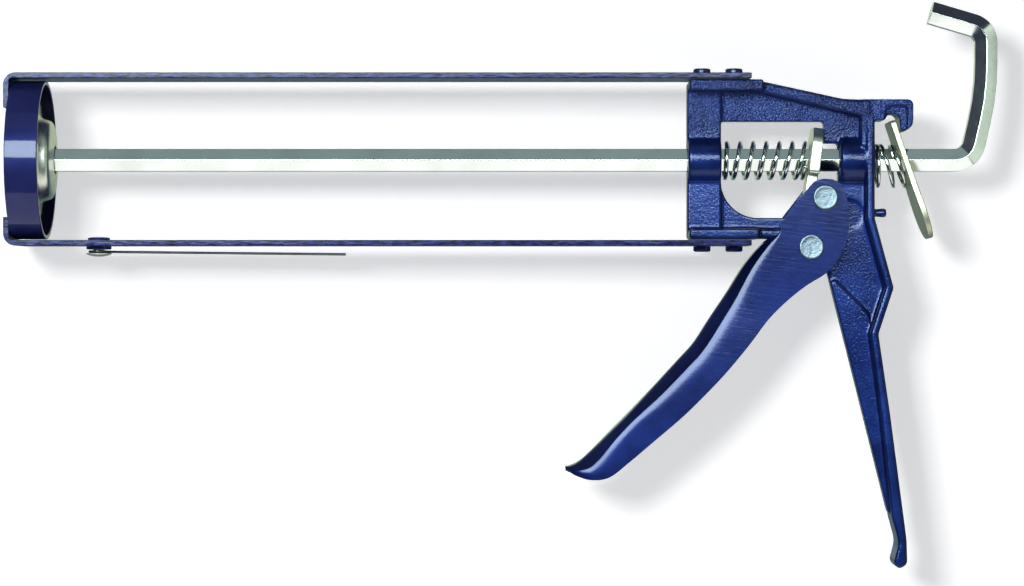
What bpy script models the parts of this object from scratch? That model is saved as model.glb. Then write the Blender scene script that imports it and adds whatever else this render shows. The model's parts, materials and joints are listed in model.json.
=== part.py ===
"""Skeleton caulking gun with a hexagonal thrust rod, in metres, +Z up.

+X points to the rear (the hook), the barrel axis lies along X, and Y is the width.
Every length below is in millimetres and is scaled once, when a shape is made. WELD and
MERGE, the gaps that are closed between a mesh's own points, are scaled where they are set.
"""

import math

import bmesh
import bpy
import numpy as np
from mathutils import Matrix, Vector

MM = 0.001
GAP = 0.3
WELD = 0.001 * MM
MERGE = 0.01 * MM

# A frame turns a flat drawing (u, v) and its depth w into X, Y and Z.
SIDE = Matrix.Rotation(math.radians(90.0), 4, "X")
CROSS = Matrix(((0, 0, 1, 0), (1, 0, 0, 0), (0, 1, 0, 0), (0, 0, 0, 1)))
FLAT = Matrix.Identity(4)

AXIS_Z = 44.0

STRAP_IN = 28.0
STRAP_T = 2.0
STRAP_HALF = 12.5
STRAP_REAR = 87.2
TAB_X = -172.0
TAB_BEND = 4.2
STRAP_RIVETS = (70.6, 81.8)
STRAP_RIVET_HEAD = 3.05
STRAP_RIVET_SHANK = 1.85
STRAP_RIVET_HOLE = 2.15

RING_R = STRAP_IN - GAP
RING_WALL = 1.5
RING_X = (-169.7, -158.4)

ROD_AF = 7.8
ROD_BORE = 4.8
ROD_FRONT = -160.6
HOOK = [
    (164.3, 44.0, 7.2),
    (169.75, 67.6, 90.0),
    (169.7, 89.8, 6.4),
    (150.4, 95.5, 0.0),
]

CAST_FRONT = 65.2
COLUMN_X = 77.1
PIVOT = (108.1, 13.6)
PUSHER = (113.0, 30.8)
PIVOT_PIN = 2.5
PUSHER_PIN = 2.2
ROLLER_R = 3.1
SHEET = 1.5
CHEEK = 9.0

PLATE_T = 3.6
PLATE_LEAN = math.radians(7.0)
PLATE_X = 109.5

LEVER_PIVOT = (136.3, 57.3)
LEVER_LEAN = math.radians(18.7)
LEVER_T = 2.0

WIRE_X = -140.2

COLOURS = {
    "blue_enamel": ((0.022, 0.03, 0.15, 1.0), 0.0, 0.28),
    "bright_zinc": ((0.62, 0.65, 0.6, 1.0), 1.0, 0.3),
    "spring_steel": ((0.5, 0.52, 0.5, 1.0), 1.0, 0.3),
}


def clear():
    for ob in list(bpy.data.objects):
        bpy.data.objects.remove(ob, do_unlink=True)


def collection(name):
    found = bpy.data.collections.new(name)
    bpy.context.scene.collection.children.link(found)
    return found


def material(name):
    found = bpy.data.materials.get(name)
    if found:
        return found
    colour, metallic, roughness = COLOURS[name]
    found = bpy.data.materials.new(name)
    found.use_nodes = True
    shader = found.node_tree.nodes["Principled BSDF"]
    shader.inputs["Base Color"].default_value = colour
    shader.inputs["Metallic"].default_value = metallic
    shader.inputs["Roughness"].default_value = roughness
    return found


def put(name, ob, group, finish=None, origin=None):
    """Names a new solid, links it to a collection and moves its origin where asked."""
    ob.name = name
    ob.data.name = name
    group.objects.link(ob)
    if origin:
        spot = Vector(origin) * MM
        shift = ob.matrix_basis.inverted() @ spot
        ob.data.transform(Matrix.Translation(-shift))
        ob.location = spot
    if finish:
        ob.data.materials.append(material(finish))
    return ob


def area(outline):
    total = 0.0
    for (a, b), (c, d) in zip(outline, outline[1:] + outline[:1], strict=True):
        total += a * d - c * b
    return total / 2


def welded(mesh, place, flat_caps=False):
    """A mesh object whose loose caps are joined on and whose faces point out."""
    bm = bmesh.new()
    bm.from_mesh(mesh)
    bmesh.ops.remove_doubles(bm, verts=bm.verts, dist=WELD)
    if flat_caps:
        join_caps(bm)
    bmesh.ops.recalc_face_normals(bm, faces=bm.faces)
    bm.to_mesh(mesh)
    bm.free()
    ob = bpy.data.objects.new("solid", mesh)
    ob.matrix_basis = place
    return ob


def join_caps(bm):
    """Makes each flat end of a filled outline one face."""
    for end in (min, max):
        level = end(v.co.z for v in bm.verts)
        cap = [f for f in bm.faces if all(abs(v.co.z - level) < WELD for v in f.verts)]
        bmesh.ops.dissolve_faces(bm, faces=cap)


def add_spline(curve, points, closed=False):
    spline = curve.splines.new("POLY")
    spline.points.add(len(points) - 1)
    for spot, (x, y, z) in zip(spline.points, points, strict=True):
        spot.co = (x * MM, y * MM, z * MM, 1.0)
    spline.use_cyclic_u = closed


def solid_of(curve, place, flat_caps=False):
    """The surface of a curve as a welded mesh object."""
    holder = bpy.data.objects.new("holder", curve)
    bpy.context.scene.collection.objects.link(holder)
    graph = bpy.context.evaluated_depsgraph_get()
    mesh = bpy.data.meshes.new_from_object(holder.evaluated_get(graph))
    bpy.data.objects.remove(holder)
    bpy.data.curves.remove(curve)
    return welded(mesh, place, flat_caps)


def prism(outline, low, high, frame):
    """An outline (u, v) filled and pulled from low to high along w."""
    curve = bpy.data.curves.new("outline", "CURVE")
    curve.dimensions = "2D"
    curve.fill_mode = "BOTH"
    curve.extrude = (high - low) / 2 * MM
    add_spline(curve, [(u, v, 0.0) for u, v in outline], closed=True)
    middle = (low + high) / 2 * MM
    return solid_of(curve, frame @ Matrix.Translation((0.0, 0.0, middle)), flat_caps=True)


def primitive(bm, place):
    mesh = bpy.data.meshes.new("primitive")
    bm.to_mesh(mesh)
    bm.free()
    ob = bpy.data.objects.new("primitive", mesh)
    ob.matrix_basis = place
    return ob


def cylinder(spot, radius, sides, low, high, frame):
    """A round bar centred on (u, v), from low to high along w."""
    bm = bmesh.new()
    bmesh.ops.create_cone(
        bm,
        cap_ends=True,
        segments=sides,
        radius1=radius * MM,
        radius2=radius * MM,
        depth=(high - low) * MM,
    )
    middle = Vector((spot[0], spot[1], (low + high) / 2)) * MM
    return primitive(bm, frame @ Matrix.Translation(middle))


def box(low, high):
    """A block between two opposite corners."""
    bm = bmesh.new()
    bmesh.ops.create_cube(bm, size=1.0)
    size = (Vector(high) - Vector(low)) * MM
    bmesh.ops.scale(bm, vec=size, verts=bm.verts)
    middle = (Vector(high) + Vector(low)) / 2 * MM
    return primitive(bm, Matrix.Translation(middle))


def turned(profile, steps, centre, frame):
    """A profile of (along w, radius) points turned about the w axis through centre."""
    if area(profile) < 0:
        profile = profile[::-1]
    count = len(profile)
    edges = [(i, i + 1) for i in range(count - 1)]
    if profile[0][1] > 0:
        edges.append((count - 1, 0))
    mesh = bpy.data.meshes.new("profile")
    mesh.from_pydata([(r * MM, 0.0, s * MM) for s, r in profile], edges, [])
    ob = bpy.data.objects.new("turned", mesh)
    screw = ob.modifiers.new("screw", "SCREW")
    screw.steps = steps
    screw.render_steps = steps
    screw.use_merge_vertices = True
    screw.merge_threshold = MERGE
    ob.matrix_basis = Matrix.Translation(Vector(centre) * MM) @ frame
    return ob


def arc(x, z, radius, start, end, count):
    """Points on an arc from start to end degrees, both ends included."""
    out = []
    for i in range(count + 1):
        a = math.radians(start + (end - start) * i / count)
        out.append((x + radius * math.cos(a), z + radius * math.sin(a)))
    return out


def fillet_path(points, step_deg=12.0):
    """A polyline through (x, z, radius) corners with each corner rounded."""
    out = [tuple(points[0][:2])]
    for i in range(1, len(points) - 1):
        a = np.array(points[i - 1][:2], float)
        b = np.array(points[i][:2], float)
        c = np.array(points[i + 1][:2], float)
        r = points[i][2]
        if r <= 0:
            out.append(tuple(b))
            continue
        u = (a - b) / np.linalg.norm(a - b)
        v = (c - b) / np.linalg.norm(c - b)
        half = math.acos(float(np.clip(np.dot(u, v), -1, 1))) / 2
        reach = r / math.tan(half)
        centre = b + (u + v) / np.linalg.norm(u + v) * r / math.sin(half)
        first = b + u * reach - centre
        turn = math.pi - 2 * half
        sign = 1.0 if u[0] * v[1] - u[1] * v[0] < 0 else -1.0
        count = max(2, int(math.ceil(math.degrees(turn) / step_deg)))
        for k in range(count + 1):
            t = sign * turn * k / count
            ct = math.cos(t)
            st = math.sin(t)
            x = centre[0] + first[0] * ct - first[1] * st
            z = centre[1] + first[0] * st + first[1] * ct
            out.append((float(x), float(z)))
    out.append(tuple(points[-1][:2]))
    return out


def rounded(points, step_deg=22.5):
    """A closed outline through (x, z, radius) corners with each corner rounded."""
    wrapped = [points[-1]] + list(points) + [points[0]]
    return fillet_path(wrapped, step_deg)[1:-1]


def hexagon_bar(path, across):
    """A hexagonal bar along an X-Z path, with a corner towards each side."""
    section = bpy.data.curves.new("section", "CURVE")
    section.dimensions = "2D"
    corner = across / math.sqrt(3)
    angles = [math.radians(60 * k) for k in range(6)]
    hexagon = [(corner * math.cos(a), corner * math.sin(a), 0.0) for a in angles]
    add_spline(section, hexagon, closed=True)
    guide = bpy.data.objects.new("section", section)
    bpy.context.scene.collection.objects.link(guide)
    curve = bpy.data.curves.new("bar", "CURVE")
    curve.dimensions = "3D"
    curve.bevel_mode = "OBJECT"
    curve.bevel_object = guide
    curve.use_fill_caps = True
    add_spline(curve, [(x, 0.0, z) for x, z in path])
    bar = solid_of(curve, FLAT)
    bpy.data.objects.remove(guide)
    return bar


def wire_along(points, radius):
    """A round wire along a line of points, with flat ends."""
    curve = bpy.data.curves.new("wire", "CURVE")
    curve.dimensions = "3D"
    curve.bevel_depth = radius * MM
    curve.bevel_resolution = 2
    curve.use_fill_caps = True
    add_spline(curve, points)
    return solid_of(curve, FLAT)


def hide(tool):
    tool.hide_render = True
    tool.display_type = "WIRE"


def boolean(target, tool, how):
    mod = target.modifiers.new(how.lower(), "BOOLEAN")
    mod.operation = how
    mod.solver = "EXACT"
    mod.object = tool
    hide(tool)


def boolean_all(target, group, how):
    """One boolean with every object of a collection at once."""
    mod = target.modifiers.new(how.lower(), "BOOLEAN")
    mod.operation = how
    mod.solver = "EXACT"
    mod.operand_type = "COLLECTION"
    mod.collection = group


def strap(name, sign, parts, cutters):
    """A flat steel strip with its front end bent in over the ring."""
    inner = sign * STRAP_IN
    outer = sign * (STRAP_IN + STRAP_T)
    tab = 12.2 if sign > 0 else 10.0
    end_z = AXIS_Z + outer - sign * tab
    outline = rounded(
        [
            (TAB_X, end_z, 0.3),
            (TAB_X, AXIS_Z + outer, TAB_BEND),
            (STRAP_REAR, AXIS_Z + outer, 0.0),
            (STRAP_REAR, AXIS_Z + inner, 0.0),
            (TAB_X + STRAP_T, AXIS_Z + inner, 1.0),
            (TAB_X + STRAP_T, end_z, 0.3),
        ]
    )
    shape = prism(outline, -STRAP_HALF, STRAP_HALF, SIDE)
    ob = put(name, shape, parts, "blue_enamel")
    low = AXIS_Z + min(inner, outer) - 1.0
    high = AXIS_Z + max(inner, outer) + 1.0
    for i, x in enumerate(STRAP_RIVETS):
        hole = cylinder((x, 0.0), STRAP_RIVET_HOLE, 24, low, high, FLAT)
        boolean(ob, put(f"{name}_hole_{i}", hole, cutters), "DIFFERENCE")
    if sign < 0:
        hole = cylinder((WIRE_X, 0.0), 2.3, 24, low, high, FLAT)
        boolean(ob, put(f"{name}_hole_wire", hole, cutters), "DIFFERENCE")


def strap_rivet(name, x, sign, parts):
    """A button-headed rivet through the strap into the casting."""
    base = STRAP_IN + STRAP_T + GAP
    head = STRAP_RIVET_HEAD
    profile = [
        (STRAP_IN - 3.6, 0.0),
        (STRAP_IN - 3.6, STRAP_RIVET_SHANK),
        (base, STRAP_RIVET_SHANK),
        (base, head),
        (base + 1.1, head),
        (base + 1.6, head - 0.5),
        (base + 1.9, head - 1.5),
        (base + 1.9, 0.0),
    ]
    profile = [(sign * s, r) for s, r in profile]
    shape = turned(profile, 20, (x, 0.0, AXIS_Z), FLAT)
    put(name, shape, parts, "blue_enamel")


def front_ring(parts):
    """The open front ring that a cartridge shoulder sits in."""
    x0, x1 = RING_X
    inner = RING_R - RING_WALL
    profile = [
        (x0, inner + 0.4),
        (x0 + 0.4, inner),
        (x1 - 0.4, inner),
        (x1, inner + 0.4),
        (x1, RING_R - 0.4),
        (x1 - 0.4, RING_R),
        (x0 + 0.4, RING_R),
        (x0, RING_R - 0.4),
    ]
    shape = turned(profile, 48, (0.0, 0.0, AXIS_Z), CROSS)
    put("front_ring", shape, parts, "blue_enamel")


def thrust_rod(parts):
    """Hexagonal rod with its rear end bent up into the pull hook."""
    path = fillet_path([(ROD_FRONT, AXIS_Z, 0.0)] + HOOK, 15.0)
    bar = hexagon_bar(path, ROD_AF)
    put("thrust_rod", bar, parts, "bright_zinc", (-150.0, 0.0, AXIS_Z))


def piston(parts):
    """The pressed disc that pushes the cartridge, dished back to a raised hub."""
    t = 1.3
    rear = [
        (-162.0, 22.6),
        (-162.0, 19.0),
        (-160.9, 15.7),
        (-158.6, 14.2),
        (-156.5, 13.3),
        (-155.9, 11.4),
        (-155.4, 6.5),
        (-155.4, ROD_BORE),
    ]
    front = [
        (-155.4 - t, ROD_BORE),
        (-155.4 - t, 6.4),
        (-155.9 - t, 11.0),
        (-159.2, 12.9),
        (-162.0, 14.5),
        (-163.3, 18.6),
        (-163.3, 22.6),
    ]
    shape = turned(rear + front, 36, (0.0, 0.0, AXIS_Z), CROSS)
    put("piston", shape, parts, "bright_zinc", (-160.0, 0.0, AXIS_Z))
    bore = ROD_BORE + 0.1
    washer = [(-158.2, bore), (-158.2, 8.5), (-157.1, 8.5), (-157.1, bore)]
    shape = turned(washer, 32, (0.0, 0.0, AXIS_Z), CROSS)
    put("piston_washer", shape, parts, "bright_zinc", (-157.6, 0.0, AXIS_Z))
    shape = cylinder((0.0, AXIS_Z), 6.6, 6, -162.8, -160.9, CROSS)
    put("piston_nut", shape, parts, "bright_zinc", (-161.8, 0.0, AXIS_Z))


def web_outline():
    """The side of the whole casting, front column to handle tip."""
    corners = [
        (CAST_FRONT, 17.6, 1.0),
        (CAST_FRONT, 70.4, 1.0),
        (92.3, 70.2, 4.0),
        (119.5, 63.6, 4.0),
        (129.0, 63.6, 0.0),
        (129.0, 24.2, 3.0),
        (135.4, -0.6, 1.5),
        (130.3, -16.6, 3.0),
        (134.2, -44.2, 20.0),
        (139.0, -80.5, 0.0),
        (135.6, -79.4, 1.0),
        (113.9, 6.0, 3.0),
        (103.5, 7.6, 4.0),
        (98.8, 13.0, 3.0),
        (98.0, 17.6, 0.0),
    ]
    return rounded(corners)


def window_outline():
    """The opening for the drive spring, the drive plate and the trigger pusher."""
    out = [(COLUMN_X, 57.4), (112.9, 57.4), (112.9, 49.8), (117.9, 49.8)]
    out += arc(114.9, 26.8, 3.0, 0.0, -90.0, 4)
    out += arc(90.1, 36.8, 13.0, 270.0, 180.0, 8)
    return out


def spine_outline():
    """The rear flange of the handle, from the tail arm to the curled tip."""
    rear = [
        (130.3, 59.0, 0.0),
        (130.3, 23.7, 3.0),
        (136.9, -0.6, 1.2),
        (131.6, -16.7, 3.0),
        (135.6, -44.1, 30.0),
        (141.4, -88.3, 20.0),
        (141.6, -96.8, 2.2),
        (138.4, -98.6, 1.6),
        (136.8, -95.9, 1.6),
        (138.6, -89.2, 8.0),
        (136.2, -80.5, 6.0),
        (132.4, -45.0, 20.0),
        (128.6, -16.6, 2.0),
        (133.8, -0.6, 1.0),
        (127.3, 23.2, 3.0),
        (127.3, 59.0, 0.0),
    ]
    return rounded(rear)


def arm_outline():
    """The hooked tail that the release lever hangs in."""
    return rounded(
        [
            (125.6, 65.0, 0.0),
            (143.8, 65.0, 2.1),
            (143.6, 56.0, 2.4),
            (140.6, 53.4, 1.3),
            (139.3, 54.6, 0.8),
            (138.8, 60.0, 2.3),
            (134.1, 60.0, 2.3),
            (134.1, 57.7, 0.6),
            (125.6, 57.7, 0.0),
        ]
    )


def casting(parts, cutters):
    """Die-cast body: front column, bosses, window, tail arm, handle and lever peg."""
    body = put(
        "body_casting",
        prism(web_outline(), -3.0, 3.0, SIDE),
        parts,
        "blue_enamel",
    )

    added = bpy.data.collections.new("cast_added")
    taken = bpy.data.collections.new("cast_taken")
    cutters.children.link(added)
    cutters.children.link(taken)

    def add(tag, shape):
        hide(put(f"cast_{tag}", shape, added))

    def cut(tag, shape):
        hide(put(f"cast_{tag}", shape, taken))

    pad_top = AXIS_Z + STRAP_IN - GAP
    pad_low = AXIS_Z - STRAP_IN + GAP
    column = [(65.3, 18.3), (65.3, 69.7), (COLUMN_X + 0.1, 69.6), (COLUMN_X + 0.1, 18.4)]
    add("column", prism(column, -4.2, 4.2, SIDE))
    pad = rounded(
        [(65.6, 67.8, 1.4), (65.6, pad_top, 1.2), (91.4, pad_top, 0.6), (91.4, 67.7, 0.0)]
    )
    add("top_pad", prism(pad, -12.2, 12.2, SIDE))
    slope = rounded(
        [
            (86.0, 67.9, 0.0),
            (86.0, 71.1, 0.0),
            (92.3, 71.0, 6.0),
            (119.0, 65.2, 6.0),
            (129.2, 64.7, 0.0),
            (129.2, 58.3, 0.0),
            (125.9, 58.9, 0.0),
            (92.8, 66.8, 6.0),
        ]
    )
    add("top_slope", prism(slope, -8.6, 8.6, SIDE))
    foot = rounded(
        [(65.6, pad_low, 1.2), (65.6, 19.9, 1.4), (90.0, 20.0, 0.0), (90.0, pad_low, 0.6)]
    )
    add("low_pad", prism(foot, -12.2, 12.2, SIDE))
    toe = [(89.0, 16.5), (89.0, 19.8), (103.0, 19.7), (103.0, 12.0), (98.4, 16.4)]
    add("low_toe", prism(toe, -6.9, 6.9, SIDE))
    front_boss = [(65.5, 0.0), (65.5, 7.8), (66.0, 8.55), (76.8, 8.55), (77.4, 7.7), (77.4, 0.0)]
    add("front_boss", turned(front_boss, 32, (0.0, 0.0, AXIS_Z), CROSS))
    rear_boss = [(118.5, 0.0), (118.5, 7.6), (119.2, 8.3), (130.1, 8.3), (130.7, 7.7), (130.7, 0.0)]
    add("rear_boss", turned(rear_boss, 32, (0.0, 0.0, AXIS_Z), CROSS))
    add("pivot_boss", cylinder(PIVOT, 6.4, 32, -7.1, 7.1, SIDE))
    add("arm", prism(arm_outline(), -8.0, 8.0, SIDE))
    add("spine", prism(spine_outline(), -8.4, 8.4, SIDE))
    add("shoulder", box((125.4, -7.6, 48.0), (130.1, 7.6, 61.0)))
    lower = rounded(
        [
            (114.8, 4.0, 1.0),
            (128.6, -9.8, 2.0),
            (129.7, -17.0, 1.0),
            (133.4, -45.0, 20.0),
            (137.4, -80.6, 0.0),
            (135.2, -78.6, 1.0),
            (116.6, -4.2, 3.0),
        ]
    )
    add("handle", prism(lower, -3.6, 3.6, SIDE))
    peg = [(129.0, 0.0), (129.0, 1.25), (134.2, 1.25), (134.8, 0.9), (135.0, 0.4), (135.0, 0.0)]
    add("peg", turned(peg, 16, (0.0, 0.0, 25.6), CROSS))

    cut("window", prism(window_outline(), -20.0, 20.0, SIDE))
    cut("bore", cylinder((0.0, AXIS_Z), ROD_BORE, 40, 60.0, 140.0, CROSS))
    cut("pivot_hole", cylinder(PIVOT, 2.8, 24, -20.0, 20.0, SIDE))
    recess = rounded(
        [
            (133.8, 50.0, 0.0),
            (133.8, 62.8, 3.0),
            (141.7, 62.8, 1.4),
            (141.4, 50.0, 0.0),
        ]
    )
    cut("arm_recess_near", prism(recess, 7.0, 9.0, SIDE))
    cut("arm_recess_far", prism(recess, -9.0, -7.0, SIDE))
    for i, x in enumerate(STRAP_RIVETS):
        hole = ((x, 0.0), STRAP_RIVET_HOLE, 24)
        cut(f"top_hole_{i}", cylinder(*hole, AXIS_Z + STRAP_IN - 3.9, AXIS_Z + 40.0, FLAT))
        cut(f"low_hole_{i}", cylinder(*hole, AXIS_Z - 40.0, AXIS_Z - STRAP_IN + 3.9, FLAT))
    boolean_all(body, added, "UNION")
    boolean_all(body, taken, "DIFFERENCE")


def trigger(parts, cutters):
    """Pressed channel, open to the rear, lofted between unlike sections into two flat ears."""
    stations = [
        ((22.7, -63.0), (24.2, -64.7), 5.0, 1.4),
        ((24.6, -62.6), (26.8, -66.1), 7.6, 3.4),
        ((27.6, -61.1), (31.9, -67.4), 9.2, 6.0),
        ((31.8, -57.4), (38.1, -66.4), 9.9, 6.6),
        ((38.1, -51.1), (45.0, -61.1), 10.2, 5.2),
        ((44.4, -44.8), (53.5, -53.9), 10.2, 4.6),
        ((53.6, -35.0), (63.9, -45.0), 10.1, 6.2),
        ((62.7, -25.1), (73.6, -35.4), 9.9, 6.8),
        ((67.7, -19.5), (79.7, -28.8), 9.7, 6.8),
        ((73.2, -11.0), (87.1, -19.8), 9.4, 6.8),
        ((78.9, -2.5), (93.2, -11.7), 9.1, 6.0),
        ((85.3, 7.6), (99.6, -5.3), CHEEK, 4.7),
        ((92.0, 15.2), (106.2, 0.0), CHEEK, 3.4),
        ((96.6, 18.0), (113.4, 4.6), CHEEK, 2.0),
        ((97.9, 21.0), (117.9, 10.3), CHEEK, 1.6),
        ((98.9, 23.5), (119.8, 14.6), CHEEK, 1.6),
        ((102.2, 27.9), (121.1, 20.0), CHEEK, 1.6),
        ((105.3, 31.9), (121.1, 27.6), CHEEK, 1.6),
        ((108.2, 35.5), (119.7, 32.4), CHEEK, 1.6),
        ((110.0, 36.7), (117.8, 35.8), CHEEK, 1.6),
        ((112.4, 37.3), (115.6, 37.1), CHEEK, 1.6),
    ]
    bend = 5
    t = SHEET
    rings = []
    for front, back, half, radius in stations:
        f = np.array(front)
        b = np.array(back)
        reach = float(np.linalg.norm(b - f))
        d = (b - f) / reach
        radius = min(radius, reach - 0.1)
        outer = [(reach, -half)]
        for k in range(bend + 1):
            a = math.pi / 2 * k / bend
            outer.append((radius * (1 - math.sin(a)), -half + radius * (1 - math.cos(a))))
        outer += [(s, -y) for s, y in reversed(outer)]
        small = max(0.15, radius - t)
        inner = [(reach, -half + t)]
        for k in range(bend + 1):
            a = math.pi / 2 * k / bend
            s = t + small * (1 - math.sin(a))
            s = min(s, reach - 0.02 * (bend - k))
            inner.append((s, -half + t + small * (1 - math.cos(a))))
        inner += [(s, -y) for s, y in reversed(inner)]
        loop = outer + inner[::-1]
        rings.append([(f[0] + d[0] * s, y, f[1] + d[1] * s) for s, y in loop])
    n = len(rings[0])
    verts = [p for ring in rings for p in ring]
    faces = []
    half_n = n // 2
    for i in range(len(rings) - 1):
        for k in range(n):
            m = (k + 1) % n
            faces.append([i * n + k, i * n + m, (i + 1) * n + m, (i + 1) * n + k])
    for base, flip in ((0, False), ((len(rings) - 1) * n, True)):
        for k in range(half_n - 1):
            quad = [base + k, base + n - 1 - k, base + n - 2 - k, base + k + 1]
            faces.append(quad[::-1] if flip else quad)
    mesh = bpy.data.meshes.new("trigger")
    mesh.from_pydata([tuple(c * MM for c in p) for p in verts], [], faces)
    ob = put("trigger", welded(mesh, FLAT), parts, "blue_enamel", (PIVOT[0], 0.0, PIVOT[1]))
    throat = [
        (80.0, 60.0),
        (80.0, 30.0),
        (88.9, 15.6),
        (96.0, 8.2),
        (111.0, -6.0),
        (140.0, 0.0),
        (140.0, 60.0),
    ]
    inside = CHEEK - SHEET
    shape = prism(throat, -inside, inside, SIDE)
    boolean(ob, put("trigger_throat", shape, cutters), "DIFFERENCE")
    for tag, spot, pin in (("pivot", PIVOT, PIVOT_PIN), ("pusher", PUSHER, PUSHER_PIN)):
        hole = cylinder(spot, pin + GAP, 24, -15.0, 15.0, SIDE)
        boolean(ob, put(f"trigger_{tag}_hole", hole, cutters), "DIFFERENCE")


def cross_rivet(name, spot, pin, parts):
    """A pin across the ears with a low round head on each side."""
    face = CHEEK + GAP
    head = 4.3
    half = [
        (face, pin),
        (face, head),
        (face + 0.5, head),
        (face + 0.85, head - 0.35),
        (face + 0.95, head - 0.9),
        (face + 1.0, 0.0),
    ]
    profile = [(-s, r) for s, r in half[::-1]] + half
    shape = turned(profile, 28, (spot[0], 0.0, spot[1]), SIDE)
    put(name, shape, parts, "bright_zinc", (spot[0], 0.0, spot[1]))


def pusher_roller(parts):
    """The loose sleeve on the upper pin that bears on the drive plate."""
    bore = PUSHER_PIN + GAP
    profile = [(-7.0, bore), (-7.0, ROLLER_R), (7.0, ROLLER_R), (7.0, bore)]
    shape = turned(profile, 24, (PUSHER[0], 0.0, PUSHER[1]), SIDE)
    put("pusher_roller", shape, parts, "bright_zinc", (PUSHER[0], 0.0, PUSHER[1]))


def leaning(x, z, lean):
    """A frame for a plate whose middle passes (x, z): u across, v up along it, w through."""
    turn = Matrix.Rotation(lean, 4, "Y") @ CROSS
    return Matrix.Translation(Vector((x, 0.0, z)) * MM) @ turn


def drive_plate(parts, cutters):
    """Thick gripping plate on the rod, with a tongue down between the ears."""
    frame = leaning(PLATE_X, AXIS_Z, PLATE_LEAN)
    outline = rounded(
        [
            (-6.4, -17.9, 2.0),
            (6.4, -17.9, 2.0),
            (6.4, -5.1, 0.6),
            (11.8, -5.1, 1.2),
            (11.8, 7.0, 5.0),
            (7.0, 11.2, 5.0),
            (-7.0, 11.2, 5.0),
            (-11.8, 7.0, 5.0),
            (-11.8, -5.1, 1.2),
            (-6.4, -5.1, 0.6),
        ]
    )
    half = PLATE_T / 2
    ob = put(
        "drive_plate",
        prism(outline, -half, half, frame),
        parts,
        "bright_zinc",
        (PLATE_X, 0.0, AXIS_Z),
    )
    hole = cylinder((0.0, 0.0), 5.0, 36, -5.0, 5.0, frame)
    boolean(ob, put("drive_plate_hole", hole, cutters), "DIFFERENCE")


def release_lever(parts, cutters):
    """Thin leaning plate with a slotted rod hole and a wider thumb end."""
    frame = leaning(LEVER_PIVOT[0], LEVER_PIVOT[1], -LEVER_LEAN)
    low = -42.8
    outline = rounded(
        [
            (-10.0, 0.2, 1.5),
            (-10.2, -22.0, 14.0),
            (-12.4, -31.0, 10.0),
            (-12.4, low, 9.5),
            (12.4, low, 9.5),
            (12.4, -31.0, 10.0),
            (10.2, -22.0, 14.0),
            (10.0, 0.2, 1.5),
        ]
    )
    half = LEVER_T / 2
    pivot = (LEVER_PIVOT[0], 0.0, LEVER_PIVOT[1])
    ob = put("release_lever", prism(outline, -half, half, frame), parts, "bright_zinc", pivot)
    slot = arc(0.0, -13.3, 5.0, 0.0, 180.0, 12) + arc(0.0, -14.5, 5.0, 180.0, 360.0, 12)
    hole = prism(slot, -5.0, 5.0, frame)
    boolean(ob, put("release_lever_slot", hole, cutters), "DIFFERENCE")


def coil(name, radius, wire, turns, start, reach_at, hand, sag, per_turn, parts):
    """A compression spring on the rod whose last turn lies along a leaning plate."""
    points = []
    steps = int(turns * per_turn)
    for i in range(steps + 1):
        t = i / steps
        a = hand * 2 * math.pi * turns * t
        y = radius * math.sin(a)
        z = radius * math.cos(a) - sag
        ease = closed_end(t, turns)
        points.append((start + ease * (reach_at(z) - start), y, AXIS_Z + z))
    origin = (start, 0.0, AXIS_Z)
    put(name, wire_along(points, wire / 2), parts, "spring_steel", origin)


def closed_end(t, turns):
    """Progress along the spring with a nearly flat turn at each end."""
    end = 0.75 / turns
    flat_share = 0.25 * end
    if t < end:
        return t / end * flat_share
    if t > 1 - end:
        return 1 - (1 - t) / end * flat_share
    return flat_share + (t - end) / (1 - 2 * end) * (1 - 2 * flat_share)


def springs(parts):
    wire = 1.4

    def to_plate(z):
        return PLATE_X + z * math.tan(PLATE_LEAN) - PLATE_T / 2 - 0.45 - wire / 2

    coil("drive_spring", 6.3, wire, 7.5, 77.4 + GAP + wire / 2, to_plate, 1, 0.0, 16, parts)
    thin = 1.2

    def to_lever(z):
        drop = AXIS_Z + z - LEVER_PIVOT[1]
        return LEVER_PIVOT[0] - drop * math.tan(LEVER_LEAN) - LEVER_T / 2 - 0.5 - thin / 2

    coil("release_spring", 7.2, thin, 2.75, 130.7 + GAP + thin / 2, to_lever, -1, 1.9, 16, parts)


def pierce_wire(parts):
    """Swinging wire under the lower strap, for opening a nozzle, with its rivet."""
    under = AXIS_Z - STRAP_IN - STRAP_T
    radius = 0.45
    loop_z = under - 0.9 - 2 * GAP - radius
    turn = 3.2
    points = []
    for i in range(19):
        a = math.radians(330.0 - 16.0 * i)
        points.append((WIRE_X + turn * math.cos(a), turn * math.sin(a), loop_z))
    points.append((WIRE_X + 6.0, 0.4, loop_z - 0.1))
    points.append((WIRE_X + 10.0, 0.0, loop_z - 0.15))
    points.append((-54.0, 0.0, 11.1))
    shape = wire_along(points, radius)
    put("pierce_wire", shape, parts, "spring_steel", (WIRE_X, 0.0, loop_z))
    washer = [(under - 0.9 - GAP, 2.4), (under - 0.9 - GAP, 4.4), (under - GAP, 4.4), (under - GAP, 2.4)]
    shape = turned(washer, 28, (WIRE_X, 0.0, 0.0), FLAT)
    put("pierce_washer", shape, parts, "blue_enamel", (WIRE_X, 0.0, under))
    top = AXIS_Z - STRAP_IN + GAP
    low = loop_z - radius - GAP
    profile = [
        (low - 1.0, 0.0),
        (low - 0.9, 3.0),
        (low - 0.5, 4.3),
        (low, 4.5),
        (low, 2.0),
        (top, 2.0),
        (top, 3.9),
        (top + 0.6, 3.9),
        (top + 0.9, 3.2),
        (top + 0.9, 0.0),
    ]
    shape = turned(profile, 28, (WIRE_X, 0.0, 0.0), FLAT)
    put("pierce_rivet", shape, parts, "bright_zinc", (WIRE_X, 0.0, under))


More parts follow.
